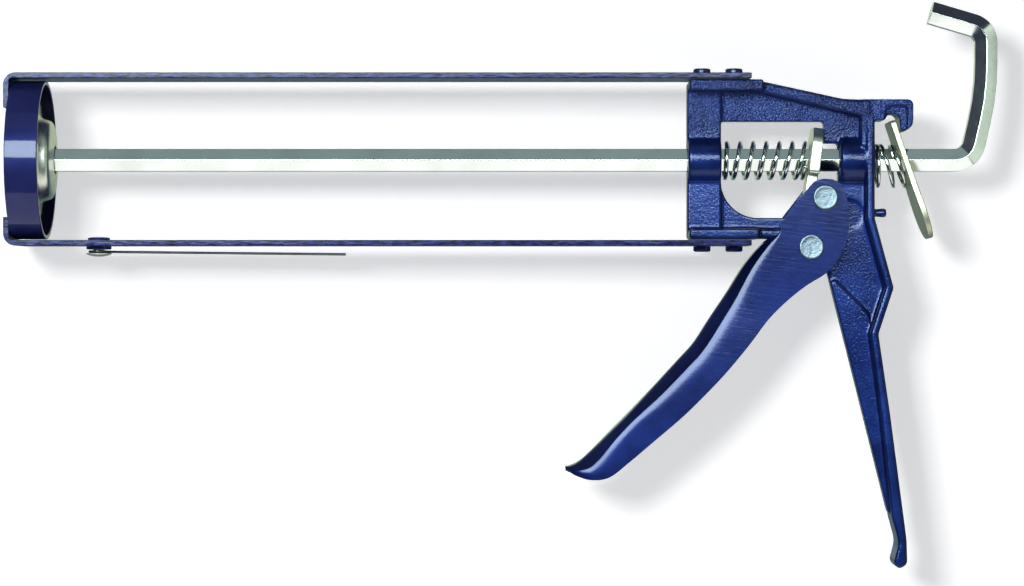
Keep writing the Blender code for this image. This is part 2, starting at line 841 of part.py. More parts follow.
def main():
    clear()
    parts = collection("caulking_gun")
    cutters = collection("cutters")
    strap("upper_strap", 1, parts, cutters)
    strap("lower_strap", -1, parts, cutters)
    for i, x in enumerate(STRAP_RIVETS):
        strap_rivet(f"upper_rivet_{i + 1}", x, 1, parts)
        strap_rivet(f"lower_rivet_{i + 1}", x, -1, parts)
    front_ring(parts)
    thrust_rod(parts)
    piston(parts)
    casting(parts, cutters)
    trigger(parts, cutters)
    cross_rivet("pivot_rivet", PIVOT, PIVOT_PIN, parts)
    cross_rivet("pusher_rivet", PUSHER, PUSHER_PIN, parts)
    pusher_roller(parts)
    drive_plate(parts, cutters)
    release_lever(parts, cutters)
    springs(parts)
    pierce_wire(parts)


main()
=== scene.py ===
"""Looks of a skeleton caulking gun: blue enamel frame and grip, bright zinc rod and fittings.

Lengths in the tables are millimetres; MM turns them into metres.
"""

import json
import math

import bmesh
import bpy
import numpy as np
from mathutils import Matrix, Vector

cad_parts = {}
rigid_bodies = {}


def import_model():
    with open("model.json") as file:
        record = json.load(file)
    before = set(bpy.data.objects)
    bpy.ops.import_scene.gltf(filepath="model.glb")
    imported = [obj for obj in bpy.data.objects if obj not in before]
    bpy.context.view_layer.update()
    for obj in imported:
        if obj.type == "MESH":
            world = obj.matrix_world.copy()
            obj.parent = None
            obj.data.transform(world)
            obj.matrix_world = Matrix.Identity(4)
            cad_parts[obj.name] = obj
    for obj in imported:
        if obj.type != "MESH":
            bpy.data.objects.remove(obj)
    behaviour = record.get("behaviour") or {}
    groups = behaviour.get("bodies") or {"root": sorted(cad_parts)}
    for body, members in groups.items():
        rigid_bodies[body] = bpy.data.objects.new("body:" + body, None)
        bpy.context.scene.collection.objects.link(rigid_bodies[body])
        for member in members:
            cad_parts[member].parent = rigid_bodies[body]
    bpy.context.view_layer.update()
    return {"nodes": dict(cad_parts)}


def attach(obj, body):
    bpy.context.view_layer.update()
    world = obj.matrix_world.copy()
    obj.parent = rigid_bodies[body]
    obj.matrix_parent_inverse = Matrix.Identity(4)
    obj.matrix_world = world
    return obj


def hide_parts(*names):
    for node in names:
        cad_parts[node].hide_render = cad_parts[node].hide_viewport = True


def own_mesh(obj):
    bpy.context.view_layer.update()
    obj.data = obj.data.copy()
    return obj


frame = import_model()

MM = 0.001
AXIS_Z = 44.0
GAP = 0.3

STRAP_IN = 28.0
STRAP_T = 2.0
STRAP_HALF = 12.5
STRAP_REAR = 87.2
UPPER_TAB = 12.2
LOWER_TAB = 10.0
TAB_X = -172.0
TAB_BEND = 4.2
STRAP_RIVETS = (70.6, 81.8)

RING_R = STRAP_IN - GAP
RING_WALL = 1.5
RING_X = (-169.7, -158.4)

ROD_AF = 7.8
ROD_BORE = 4.8
ROD_FRONT = -160.6
HOOK = [
    (164.3, 44.0, 7.2),
    (169.75, 67.6, 90.0),
    (169.7, 89.8, 6.4),
    (150.4, 95.5, 0.0),
]

CAST_FRONT = 65.2
COLUMN_X = 77.1
FRONT_BOSS_END = 77.4
REAR_BOSS_END = 130.7
PIVOT = (108.1, 13.6)
PUSHER = (113.0, 30.8)
SHEET = 1.5
CHEEK = 9.0
PLATE_T = 3.6
PLATE_LEAN = math.radians(7.0)
PLATE_X = 109.5
LEVER_PIVOT = (136.3, 57.3)
LEVER_LEAN = math.radians(18.7)
LEVER_T = 2.0
WIRE_X = -140.2

# Half-widths of the casting's parts, across the gun.
WEB_HALF = 3.0
COLUMN_HALF = 4.2
PAD_HALF = 12.2
SLOPE_HALF = 8.6
TOE_HALF = 6.9
EYE_HALF = 7.1
ARM_HALF = 8.0
FLANGE_HALF = 8.4
SHOULDER_HALF = 7.6
HANDLE_HALF = 3.6
PAST_SIDE = 9.0
PAST_ALL = 20.0

# How the joined casting is melted together: grain size, smoothing, share of faces kept.
MELT_GRAIN = 0.42
MELT_SOFTEN = 0.5
MELT_PASSES = 5
MELT_KEEP = 0.45

DRIVE_WIRE = 1.4
DRIVE_COIL = 6.3
DRIVE_TURNS = 7.5
RELEASE_WIRE = 1.2
RELEASE_COIL = 7.2
RELEASE_TURNS = 2.75
RELEASE_SAG = 1.9

PIERCE_R = 0.45
PIERCE_LOOP = 3.2
PIERCE_WASHER = 0.9

CAMERA_AT = (4.2, -1250.0, -2.4)
CAMERA_LENS = 125.7
SENSOR_WIDTH = 36.0
BACKDROP_Y = 28.4
BACKDROP_REACH = 2500.0
BACKDROP_GLOW = 0.56

# The room is dark in front; its wall fills the directions that point back (+Y) by more
# than these shares, and its two tones meet at eye level.
ROOM_DARK = (0.03, 0.035, 0.055, 1.0)
WALL_LOW = (0.19, 0.27, 0.27, 1.0)
WALL_HIGH = (0.60, 0.68, 0.55, 1.0)
WALL_STARTS = 0.45
WALL_FULL = 0.9
WALL_SPLIT = 0.015

# Sockets of a Mix node that mixes colours.
COLOUR_A = 6
COLOUR_B = 7
COLOUR_OUT = 2

# Enamel surfaces: how metallic, how strong the clear skin, how hazy the skin.
ENAMELS = {
    "smooth": (0.2, 0.8, 0.07),
    "edge": (0.15, 0.5, 0.12),
    "streaks": (0.5, 0.8, 0.16),
    "leather": (0.5, 0.7, 0.08),
    # The ring's inside: much darker enamel with a weaker clear skin, painting the shade inside
    # the ring.
    "shaded_inside": (0.2, 0.3, 0.3),
}

# The leather grain is weak below the lower height and full above the higher, in metres.
LEATHER_LOW = 0.050
LEATHER_HIGH = 0.056


# ---------------------------------------------------------------- mesh helpers


def outward(verts, faces):
    """The faces, all turned over if they enclose a negative volume."""
    p = np.array(verts, float)
    volume = 0.0
    for f in faces:
        for i in range(1, len(f) - 1):
            volume += float(np.dot(p[f[0]], np.cross(p[f[i]], p[f[i + 1]])))
    return faces if volume > 0 else [list(f)[::-1] for f in faces]


def build(name, verts, faces, group=None):
    """A mesh object from points in millimetres."""
    mesh = bpy.data.meshes.new(name)
    mesh.from_pydata([tuple(c * MM for c in v) for v in verts], [], faces)
    mesh.update()
    ob = bpy.data.objects.new(name, mesh)
    (group or bpy.context.scene.collection).objects.link(ob)
    return ob


def area(outline):
    """Signed area of a closed outline."""
    total = 0.0
    for (a, b), (c, d) in zip(outline, outline[1:] + outline[:1], strict=True):
        total += a * d - c * b
    return total / 2


def side(u, v, w):
    """An outline in the side view (X, Z), its depth along Y."""
    return (u, w, v)


def cross(u, v, w):
    """An outline across the rod (Y, Z), its depth along X."""
    return (w, u, v)


def prism(outline, low, high, to_xyz):
    """An outline drawn out between two depths."""
    n = len(outline)
    if area(outline) < 0:
        outline = outline[::-1]
    verts = [to_xyz(u, v, low) for u, v in outline]
    verts += [to_xyz(u, v, high) for u, v in outline]
    faces = [list(range(n))[::-1], list(range(n, 2 * n))]
    faces += [[i, (i + 1) % n, n + (i + 1) % n, n + i] for i in range(n)]
    return verts, outward(verts, faces)


def disc(x, z, radius, count=48):
    """Corners of a round outline."""
    step = 2 * math.pi / count
    return [
        (x + radius * math.cos(i * step), z + radius * math.sin(i * step))
        for i in range(count)
    ]


def arc(x, z, radius, start, end, count):
    """Points on an arc between two angles in degrees."""
    out = []
    for i in range(count + 1):
        a = math.radians(start + (end - start) * i / count)
        out.append((x + radius * math.cos(a), z + radius * math.sin(a)))
    return out


def fillet_path(points, step_deg=6.0):
    """An open path of (x, z, radius) corners, each rounded to its radius."""
    out = [tuple(points[0][:2])]
    for i in range(1, len(points) - 1):
        a = np.array(points[i - 1][:2], float)
        b = np.array(points[i][:2], float)
        c = np.array(points[i + 1][:2], float)
        r = points[i][2]
        if r <= 0:
            out.append(tuple(b))
            continue
        u = (a - b) / np.linalg.norm(a - b)
        v = (c - b) / np.linalg.norm(c - b)
        half = math.acos(float(np.clip(np.dot(u, v), -1, 1))) / 2
        reach = r / math.tan(half)
        centre = b + (u + v) / np.linalg.norm(u + v) * r / math.sin(half)
        first = b + u * reach - centre
        turn = math.pi - 2 * half
        sign = 1.0 if u[0] * v[1] - u[1] * v[0] < 0 else -1.0
        count = max(2, int(math.ceil(math.degrees(turn) / step_deg)))
        for k in range(count + 1):
            t = sign * turn * k / count
            x = centre[0] + first[0] * math.cos(t) - first[1] * math.sin(t)
            z = centre[1] + first[0] * math.sin(t) + first[1] * math.cos(t)
            out.append((float(x), float(z)))
    out.append(tuple(points[-1][:2]))
    return out


def rounded(points, step_deg=10.0):
    """A closed outline of such corners."""
    wrapped = [points[-1]] + list(points) + [points[0]]
    return fillet_path(wrapped, step_deg)[1:-1]


def sweep(path, section):
    """A section of (across, y) points carried along a path, ends capped."""
    path = np.array(path, float)
    n = len(section)
    verts = []
    for i in range(len(path)):
        a = path[max(i - 1, 0)]
        b = path[i]
        c = path[min(i + 1, len(path) - 1)]
        d1 = (b - a) / (np.linalg.norm(b - a) or 1.0)
        d2 = (c - b) / (np.linalg.norm(c - b) or 1.0)
        d = d1 + d2
        d = d / np.linalg.norm(d)
        stretch = 1.0 / max(0.3, float(np.dot(d, d2 if i == 0 else d1)))
        nx, nz = -d[1], d[0]
        for s, y in section:
            verts.append((b[0] + nx * s * stretch, y, b[1] + nz * s * stretch))
    faces = [list(range(n))]
    for i in range(len(path) - 1):
        for k in range(n):
            m = (k + 1) % n
            faces.append([i * n + k, (i + 1) * n + k, (i + 1) * n + m, i * n + m])
    last = (len(path) - 1) * n
    faces.append([last + k for k in range(n)][::-1])
    return verts, outward(verts, faces)


def lathe(profile, count, centre, axis, solid=False):
    """A closed (along, radius) profile turned about an axis; solid caps its two ends."""
    n = len(profile)
    verts = []
    for j in range(count):
        a = 2 * math.pi * j / count
        for s, r in profile:
            c, d = r * math.cos(a), r * math.sin(a)
            q = {"x": (s, c, d), "y": (c, s, d), "z": (c, d, s)}[axis]
            verts.append(tuple(centre[i] + q[i] for i in range(3)))
    faces = []
    for j in range(count):
        m = (j + 1) % count
        for i in range(n - 1 if solid else n):
            k = (i + 1) % n
            faces.append([j * n + i, j * n + k, m * n + k, m * n + i])
    if solid:
        faces.append([j * n for j in range(count)])
        faces.append([j * n + n - 1 for j in range(count)][::-1])
    return verts, outward(verts, faces)


def tube(points, radius, sides):
    """A round wire through points, its two ends drawn in."""
    p = np.array(points, float)
    n = len(p)
    t = np.zeros_like(p)
    t[1:-1] = p[2:] - p[:-2]
    t[0] = p[1] - p[0]
    t[-1] = p[-1] - p[-2]
    t /= np.linalg.norm(t, axis=1)[:, None]
    u = np.array([0.0, 0.0, 1.0]) if abs(t[0][2]) < 0.9 else np.array([0.0, 1.0, 0.0])
    rings = []
    for i in range(n):
        u = u - t[i] * np.dot(u, t[i])
        u /= np.linalg.norm(u)
        w = np.cross(t[i], u)
        rings.append((p[i], u.copy(), w))
    reach, narrow = 0.3, 0.7
    c, a, b = rings[0]
    rows = [(c - t[0] * radius * reach, a, b, narrow)]
    rows += [(c, a, b, 1.0) for c, a, b in rings]
    c, a, b = rings[-1]
    rows.append((c + t[-1] * radius * reach, a, b, narrow))
    verts = []
    for c, a, b, size in rows:
        for k in range(sides):
            g = 2 * math.pi * k / sides
            v = c + radius * size * (math.cos(g) * a + math.sin(g) * b)
            verts.append(tuple(v))
    faces = [list(range(sides))]
    for i in range(len(rows) - 1):
        for k in range(sides):
            m = (k + 1) % sides
            a = i * sides
            faces.append([a + k, a + sides + k, a + sides + m, a + m])
    faces.append([(len(rows) - 1) * sides + k for k in range(sides)][::-1])
    return verts, outward(verts, faces)


def leaning(x, z, lean):
    """Plate coordinates (across, along, through) leaned about Y at a spot."""
    def to_xyz(u, v, w):
        return (
            x + v * math.sin(lean) + w * math.cos(lean),
            u,
            z + v * math.cos(lean) - w * math.sin(lean),
        )

    return to_xyz


def smooth_line(values, t):
    """Values given at 0, 1, 2... read at t on a cardinal spline through them."""
    v = np.array(values, float)
    i = int(min(max(math.floor(t), 0), len(v) - 2))
    f = t - i
    a = v[max(i - 1, 0)]
    b = v[i]
    c = v[i + 1]
    d = v[min(i + 2, len(v) - 1)]
    m0 = (c - a) / 2
    m1 = (d - b) / 2
    f2, f3 = f * f, f * f * f
    return (
        (2 * f3 - 3 * f2 + 1) * b
        + (f3 - 2 * f2 + f) * m0
        + (3 * f2 - 2 * f3) * c
        + (f3 - f2) * m1
    )


def add_modifier(ob, kind, **settings):
    """A modifier with its settings."""
    mod = ob.modifiers.new(kind.lower(), kind)
    for key, value in settings.items():
        setattr(mod, key, value)
    return mod


def bevel(ob, width, segments=2, angle=30.0):
    """Eases edges sharper than an angle; width in mm."""
    add_modifier(
        ob,
        "BEVEL",
        width=width * MM,
        segments=segments,
        limit_method="ANGLE",
        angle_limit=math.radians(angle),
        use_clamp_overlap=True,
    )


def settle(ob, sharp=40.0, flats=True):
    """Turns an object's modifiers into its mesh, shaded smooth below an angle."""
    bpy.context.view_layer.update()
    dg = bpy.context.evaluated_depsgraph_get()
    mesh = bpy.data.meshes.new_from_object(ob.evaluated_get(dg))
    old = ob.data
    ob.modifiers.clear()
    ob.data = mesh
    bpy.data.meshes.remove(old)
    mesh.name = ob.name
    mesh.shade_smooth()
    mesh.set_sharp_from_angle(angle=math.radians(sharp))
    if flats:
        add_modifier(ob, "WEIGHTED_NORMAL", weight=100, keep_sharp=True)
    return ob


def place(ob, body, slot, finish, *nodes):
    """Gives a piece its material and body, and hides the CAD nodes that it replaces; the slot
    is not used.
    """
    ob.data.materials.clear()
    ob.data.materials.append(finish)
    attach(ob, body)
    if nodes:
        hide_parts(*nodes)
    return ob


# ---------------------------------------------------------------- materials


class Nodes:
    """A material being made around one Principled shader."""

    def __init__(self, name):
        self.material = bpy.data.materials.new(name)
        self.material.use_nodes = True
        self.tree = self.material.node_tree
        self.shader = self.tree.nodes["Principled BSDF"]

    def add(self, kind, **settings):
        node = self.tree.nodes.new(kind)
        for key, value in settings.items():
            setattr(node, key, value)
        return node

    def link(self, a, b):
        self.tree.links.new(a, b)

    def set(self, **values):
        for key, value in values.items():
            self.shader.inputs[key.replace("_", " ")].default_value = value

    def coords(self, scale, turn=0.0):
        """Object coordinates turned about Y, then scaled."""
        where = self.add("ShaderNodeTexCoord")
        out = where.outputs["Object"]
        if turn:
            spin = self.add("ShaderNodeMapping")
            spin.inputs["Rotation"].default_value = (0.0, turn, 0.0)
            self.link(out, spin.inputs["Vector"])
            out = spin.outputs["Vector"]
        size = self.add("ShaderNodeMapping")
        size.inputs["Scale"].default_value = scale
        self.link(out, size.inputs["Vector"])
        return size.outputs["Vector"]

    def noise(self, scale, detail=2.0, rough=0.5, turn=0.0):
        node = self.add("ShaderNodeTexNoise")
        node.inputs["Scale"].default_value = 1.0
        node.inputs["Detail"].default_value = detail
        node.inputs["Roughness"].default_value = rough
        self.link(self.coords(scale, turn), node.inputs["Vector"])
        return node.outputs["Fac"]

    def spread(self, value, low, high, to_low, to_high):
        node = self.add("ShaderNodeMapRange")
        node.inputs["From Min"].default_value = low
        node.inputs["From Max"].default_value = high
        node.inputs["To Min"].default_value = to_low
        node.inputs["To Max"].default_value = to_high
        self.link(value, node.inputs["Value"])
        return node.outputs["Result"]

    def mix(self, fac, a, b):
        node = self.add("ShaderNodeMix", data_type="RGBA")
        self.link(fac, node.inputs["Factor"])
        node.inputs[COLOUR_A].default_value = a
        node.inputs[COLOUR_B].default_value = b
        return node.outputs[COLOUR_OUT]

    def math(self, how, a, b):
        node = self.add("ShaderNodeMath", operation=how)
        for i, v in enumerate((a, b)):
            if isinstance(v, (int, float)):
                node.inputs[i].default_value = v
            else:
                self.link(v, node.inputs[i])
        return node.outputs[0]

    def bump(self, height, strength, distance, after=None):
        node = self.add("ShaderNodeBump")
        node.inputs["Strength"].default_value = strength
        node.inputs["Distance"].default_value = distance * MM
        self.link(height, node.inputs["Height"])
        if after is not None:
            self.link(after, node.inputs["Normal"])
        return node.outputs["Normal"]


def cube(value):
    """One value for all three axes."""
    return (value, value, value)


def enamel(name, dark, light, finish):
    """Blue lacquer under a glossy clear skin, mottled between two shades."""
    m = Nodes(name)
    metal, coat, haze = ENAMELS[finish]
    m.set(Metallic=metal, Specular_IOR_Level=0.0, Coat_IOR=1.4)
    m.set(Coat_Weight=coat, Coat_Roughness=haze)
    grain = cube(60.0)
    if finish == "edge":
        grain = (330.0, 900.0, 900.0)
    mottle = m.noise(grain, 3.0, 0.6)
    share = m.spread(mottle, 0.35, 0.65, 0.0, 1.0)
    colour = m.mix(share, dark + (1.0,), light + (1.0,))
    m.link(colour, m.shader.inputs["Base Color"])
    rough = m.spread(m.noise(cube(120.0), 2.0), 0.3, 0.7, 0.38, 0.48)
    m.link(rough, m.shader.inputs["Roughness"])
    peel = m.noise(cube(420.0), 2.0)
    normal = m.bump(peel, 0.25, 0.03)
    if finish == "edge":
        normal = m.bump(mottle, 0.6, 0.14, normal)
    if finish == "streaks":
        lines = m.noise((110.0, 300.0, 1300.0), 3.0, 0.6, turn=math.radians(-8.0))
        normal = m.bump(lines, 0.5, 0.06, normal)
    if finish == "leather":
        cells = m.noise(cube(1300.0), 2.0, 0.6)
        where = m.add("ShaderNodeTexCoord")
        split = m.add("ShaderNodeSeparateXYZ")
        m.link(where.outputs["Object"], split.inputs["Vector"])
        upper = m.spread(split.outputs["Z"], LEATHER_LOW, LEATHER_HIGH, 0.15, 1.0)
        height = m.math("MULTIPLY", cells, upper)
        normal = m.bump(height, 1.0, 0.55, normal)
    m.link(normal, m.shader.inputs["Normal"])
    m.link(normal, m.shader.inputs["Coat Normal"])
    return m.material


def zinc(name, colour, rough, grain=(300.0, 300.0, 300.0), bump=0.03):
    """Bare metal, clouded between two shades, with fine grain in its gloss."""
    m = Nodes(name)
    m.set(Metallic=1.0)
    cloud = m.noise(cube(60.0), 3.0)
    fine = m.noise(grain, 3.0, 0.6)
    dark = tuple(c * 0.84 for c in colour[:3]) + (1.0,)
    tone = m.mix(m.spread(cloud, 0.3, 0.7, 0.0, 1.0), dark, colour)
    m.link(tone, m.shader.inputs["Base Color"])
    gloss = m.spread(fine, 0.25, 0.75, rough * 0.75, rough * 1.25)
    m.link(gloss, m.shader.inputs["Roughness"])
    normal = m.bump(fine, 0.3, bump)
    m.link(normal, m.shader.inputs["Normal"])
    return m.material


def peened(name, colour):
    """Dented bare metal."""
    m = Nodes(name)
    m.set(Metallic=1.0)
    dents = m.noise(cube(700.0), 3.0, 0.6)
    tone = m.mix(
        m.spread(dents, 0.35, 0.65, 0.0, 1.0),
        tuple(c * 0.55 for c in colour[:3]) + (1.0,),
        colour,
    )
    m.link(tone, m.shader.inputs["Base Color"])
    m.link(m.spread(dents, 0.3, 0.7, 0.35, 0.5), m.shader.inputs["Roughness"])
    m.link(m.bump(dents, 0.8, 0.2), m.shader.inputs["Normal"])
    return m.material


# ---------------------------------------------------------------- pieces


def make_strap(name, sign, finish):
    inner = sign * STRAP_IN
    outer = sign * (STRAP_IN + STRAP_T)
    tab = UPPER_TAB if sign > 0 else LOWER_TAB
    end_z = AXIS_Z + outer - sign * tab
    outline = rounded(
        [
            (TAB_X, end_z, 0.3),
            (TAB_X, AXIS_Z + outer, TAB_BEND),
            (STRAP_REAR, AXIS_Z + outer, 0.0),
            (STRAP_REAR, AXIS_Z + inner, 0.0),
            (TAB_X + STRAP_T, AXIS_Z + inner, 1.0),
            (TAB_X + STRAP_T, end_z, 0.3),
        ]
    )
    ob = build(name + "_shown", *prism(outline, -STRAP_HALF, STRAP_HALF, side))
    bevel(ob, 0.7, 4, 50.0)
    settle(ob, 50.0)
    return place(ob, "frame", "blue_enamel", finish, name)


def make_strap_rivet(name, x, sign, finish):
    base = STRAP_IN + STRAP_T + 0.12
    profile = [(base - 1.2, 1.85), (base, 1.85), (base, 2.9)]
    profile += [(base + 0.12, 3.05)]
    for i in range(7):
        a = math.radians(90.0 * i / 6)
        profile.append((base + 1.15 + 0.75 * math.sin(a), 2.3 + 0.75 * math.cos(a)))
    profile += [(base + 1.93, 1.2), (base + 1.95, 0.3)]
    profile = [(sign * s, r) for s, r in profile]
    ob = build(name + "_shown", *lathe(profile, 40, (x, 0.0, AXIS_Z), "z", True))
    settle(ob, 50.0)
    return place(ob, "frame", "blue_enamel", finish, name)


def make_ring(finish, shaded_inside):
    x0, x1 = RING_X
    inner = RING_R - RING_WALL
    e = 0.35
    profile = []
    for cx, cr, start in (
        (x1 - e, RING_R - e, 90.0),
        (x1 - e, inner + e, 0.0),
        (x0 + e, inner + e, -90.0),
        (x0 + e, RING_R - e, -180.0),
    ):
        for i in range(4):
            a = math.radians(start - 30.0 * i)
            profile.append((cx + e * math.cos(a), cr + e * math.sin(a)))
    ob = build("front_ring_shown", *lathe(profile, 160, (0.0, 0.0, AXIS_Z), "x"))
    settle(ob, 60.0)
    place(ob, "frame", "blue_enamel", finish, "front_ring")
    # The inner faces take the second, darker enamel: painted shade inside the ring.
    ob.data.materials.append(shaded_inside)
    for face in ob.data.polygons:
        c = face.center
        if math.hypot(c.y, c.z - AXIS_Z * MM) < (inner + 0.1) * MM:
            face.material_index = 1
    return ob


def make_rod(finish):
    across = ROD_AF / math.sqrt(3)
    corner = 0.22
    section = []
    for k in range(6):
        a = math.radians(60 * k)
        for turn in (-30.0, -10.0, 10.0, 30.0):
            b = a + math.radians(turn)
            r = across - corner / math.cos(math.radians(30.0))
            s = r * math.sin(a) + corner * math.sin(b)
            y = r * math.cos(a) + corner * math.cos(b)
            section.append((s, y))
    path = fillet_path([(ROD_FRONT, AXIS_Z, 0.0)] + HOOK, 5.0)
    ob = build("thrust_rod_shown", *sweep(path, section))
    bevel(ob, 0.3, 2, 60.0)
    settle(ob, 25.0)
    return place(ob, "rod", "bright_zinc", finish, "thrust_rod")


def make_piston(finish):
    t = 1.3
    rear = [
        (-162.0, 22.3),
        (-162.0, 19.2),
        (-161.7, 17.4),
        (-161.0, 15.9),
        (-159.9, 14.8),
        (-158.6, 14.2),
        (-157.4, 13.8),
        (-156.6, 13.3),
        (-156.1, 12.4),
        (-155.9, 11.4),
        (-155.6, 8.6),
        (-155.4, 6.0),
        (-155.4, ROD_BORE + 0.3),
    ]
    steps = 40
    line = [smooth_line(rear, i * (len(rear) - 1) / steps) for i in range(steps + 1)]
    line = [(float(a), float(b)) for a, b in line]
    normals = []
    for i in range(len(line)):
        a = np.array(line[max(i - 1, 0)])
        b = np.array(line[min(i + 1, len(line) - 1)])
        d = (b - a) / np.linalg.norm(b - a)
        normals.append((d[1], -d[0]))
    front = [(p[0] + n[0] * t, p[1] + n[1] * t) for p, n in zip(line, normals, strict=True)]
    edge = arc(-162.65, 22.1, 0.55, 45.0, 135.0, 2)
    profile = line + front[::-1] + edge[::-1]
    ob = build("piston_shown", *lathe(profile, 128, (0.0, 0.0, AXIS_Z), "x"))
    settle(ob, 60.0)
    return place(ob, "plunger", "bright_zinc", finish, "piston")


def cast_web():
    """The flat plate that the rest of the casting stands on."""
    web = rounded(
        [
            (CAST_FRONT, 17.6, 1.0),
            (CAST_FRONT, 70.4, 1.0),
            (92.3, 70.2, 4.0),
            (119.5, 63.6, 4.0),
            (129.0, 63.6, 0.0),
            (129.0, 24.2, 3.0),
            (135.4, -0.6, 1.5),
            (130.3, -16.6, 3.0),
            (134.2, -44.2, 20.0),
            (139.0, -80.5, 0.0),
            (135.6, -79.4, 1.0),
            (113.9, 6.0, 3.0),
            (103.5, 7.6, 4.0),
            (98.8, 13.0, 3.0),
            (98.0, 17.6, 0.0),
        ]
    )
    return prism(web, -WEB_HALF, WEB_HALF, side)


def cast_front():
    """Front column, the two strap pads and the slope and toe behind them."""
    top = AXIS_Z + STRAP_IN - GAP
    low = AXIS_Z - STRAP_IN + GAP
    rear = COLUMN_X + 0.1
    column = [(65.3, 18.3), (65.3, 69.7), (rear, 69.6), (rear, 18.4)]
    pad = rounded([(65.6, 67.8, 1.4), (65.6, top, 1.2), (91.4, top, 0.6), (91.4, 67.7, 0.0)])
    slope = rounded(
        [
            (86.0, 67.9, 0.0),
            (86.0, 71.1, 0.0),
            (92.3, 71.0, 6.0),
            (119.0, 65.2, 6.0),
            (129.2, 64.7, 0.0),
            (129.2, 58.3, 0.0),
            (125.9, 58.9, 0.0),
            (92.8, 66.8, 6.0),
        ]
    )
    foot = rounded([(65.6, low, 1.2), (65.6, 19.9, 1.4), (90.0, 20.0, 0.0), (90.0, low, 0.6)])
    toe = [(89.0, 16.5), (89.0, 19.8), (103.0, 19.7), (103.0, 12.0), (98.4, 16.4)]
    return [
        (prism(column, -COLUMN_HALF, COLUMN_HALF, side), 0.5),
        (prism(pad, -PAD_HALF, PAD_HALF, side), 1.1),
        (prism(slope, -SLOPE_HALF, SLOPE_HALF, side), 1.4),
        (prism(foot, -PAD_HALF, PAD_HALF, side), 1.1),
        (prism(toe, -TOE_HALF, TOE_HALF, side), 0.6),
    ]


def cast_bosses():
    """The two rod bosses and the eye round the pivot."""
    middle = (0.0, 0.0, AXIS_Z)
    front = [(65.5, 7.8), (66.0, 8.55), (76.8, 8.55), (FRONT_BOSS_END, 7.7)]
    rear = [(118.5, 7.6), (119.2, 8.3), (130.1, 8.3), (REAR_BOSS_END, 7.7)]
    eye = disc(PIVOT[0], PIVOT[1], 6.4, 64)
    return [
        (lathe(front, 96, middle, "x", True), 0.0),
        (lathe(rear, 96, middle, "x", True), 0.0),
        (prism(eye, -EYE_HALF, EYE_HALF, side), 0.0),
    ]


def cast_tail():
    """Tail arm, the flange down the back, the handle and the lever's peg."""
    arm = rounded(
        [
            (125.6, 65.0, 0.0),
            (143.8, 65.0, 2.1),
            (143.6, 56.0, 2.4),
            (140.6, 53.4, 1.3),
            (139.3, 54.6, 0.8),
            (138.8, 60.0, 2.3),
            (134.1, 60.0, 2.3),
            (134.1, 57.7, 0.6),
            (125.6, 57.7, 0.0),
        ]
    )
    spine = rounded(
        [
            (130.3, 59.0, 0.0),
            (130.3, 23.7, 3.0),
            (136.9, -0.6, 1.2),
            (131.6, -16.7, 3.0),
            (135.6, -44.1, 30.0),
            (141.4, -88.3, 20.0),
            (141.6, -96.8, 2.2),
            (138.4, -98.6, 1.6),
            (136.8, -95.9, 1.6),
            (138.6, -89.2, 8.0),
            (136.2, -80.5, 6.0),
            (132.4, -45.0, 20.0),
            (128.6, -16.6, 2.0),
            (133.8, -0.6, 1.0),
            (127.3, 23.2, 3.0),
            (127.3, 59.0, 0.0),
        ]
    )
    shoulder = [(125.4, 48.0), (125.4, 61.0), (130.1, 61.0), (130.1, 48.0)]
    handle = rounded(
        [
            (114.8, 4.0, 1.0),
            (128.6, -9.8, 2.0),
            (129.7, -17.0, 1.0),
            (133.4, -45.0, 20.0),
            (137.4, -80.6, 0.0),
            (135.2, -78.6, 1.0),
            (116.6, -4.2, 3.0),
        ]
    )
    peg = [(129.0, 1.4), (132.2, 1.4), (132.8, 1.6), (134.4, 1.6), (134.9, 1.3), (135.1, 0.6)]
    return [
        (prism(arm, -ARM_HALF, ARM_HALF, side), 0.8),
        (prism(spine, -FLANGE_HALF, FLANGE_HALF, side), 0.9),
        (prism(shoulder, -SHOULDER_HALF, SHOULDER_HALF, side), 0.8),
        (prism(handle, -HANDLE_HALF, HANDLE_HALF, side), 0.0),
        (lathe(peg, 32, (0.0, 0.0, 25.6), "x", True), 0.0),
    ]


def cast_openings():
    """Window and rod bore right through, and three hollows sunk in each side."""
    window = [(COLUMN_X, 57.4), (112.9, 57.4), (112.9, 49.8), (117.9, 49.8)]
    window += arc(114.9, 26.8, 3.0, 0.0, -90.0, 8)
    window += arc(90.1, 36.8, 13.0, 270.0, 180.0, 24)
    bore = disc(0.0, AXIS_Z, ROD_BORE, 64)
    recess = rounded(
        [
            (133.8, 50.0, 0.0),
            (133.8, 62.8, 3.0),
            (141.7, 62.8, 1.4),
            (141.4, 50.0, 0.0),
        ]
    )
    dimple = disc(121.6, 25.0, 5.4, 64)
    half_moon = arc(130.0, -0.4, 4.2, 150.0, 300.0, 24)
    cut = [prism(window, -PAST_ALL, PAST_ALL, side), prism(bore, 60.0, 140.0, cross)]
    for outline, floor in ((recess, 7.0), (dimple, 2.75), (half_moon, 3.0)):
        cut.append(prism(outline, -PAST_SIDE, -floor, side))
        cut.append(prism(outline, floor, PAST_SIDE, side))
    return cut


